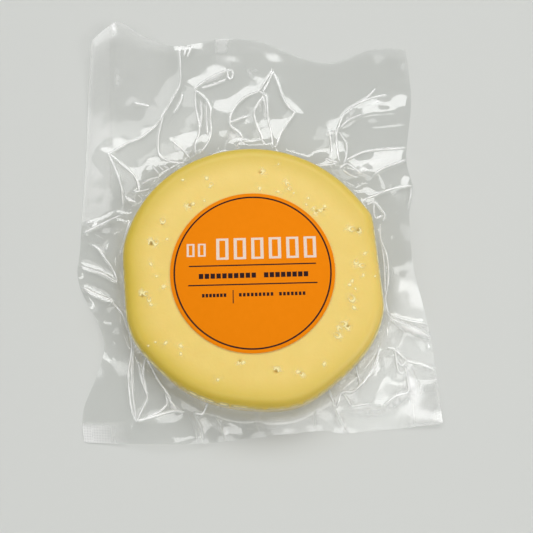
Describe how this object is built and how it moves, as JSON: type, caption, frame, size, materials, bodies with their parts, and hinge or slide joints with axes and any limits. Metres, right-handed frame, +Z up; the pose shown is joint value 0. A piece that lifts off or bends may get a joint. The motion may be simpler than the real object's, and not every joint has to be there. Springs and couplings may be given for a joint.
{
  "type": "vacuum packed cheese disc",
  "caption": "Round cheese disc lying flat in a clear vacuum-sealed pouch, with a plain round label on its face.",
  "frame": {"origin": "centre of the cheese's flat underside, on the surface that the pack lies on", "axes": "+X across the pouch, +Y along the pouch towards the end with the machine seal, +Z up through the cheese and the label"},
  "size_m": [0.1569, 0.1968, 0.0183],
  "materials": {
    "cheese": "pale yellow pressed-curd cheese, slightly glossy under film, with small eyes",
    "clear_film": "clear vacuum film with sharp creases and bright glints",
    "label_paper": "plain orange matte sticker with a thin dark ring and plain printed bars"
  },
  "bodies": {
    "root": {"cheese": "cheese", "pouch": "clear_film", "label": "label_paper"}
  },
  "joints": []
}
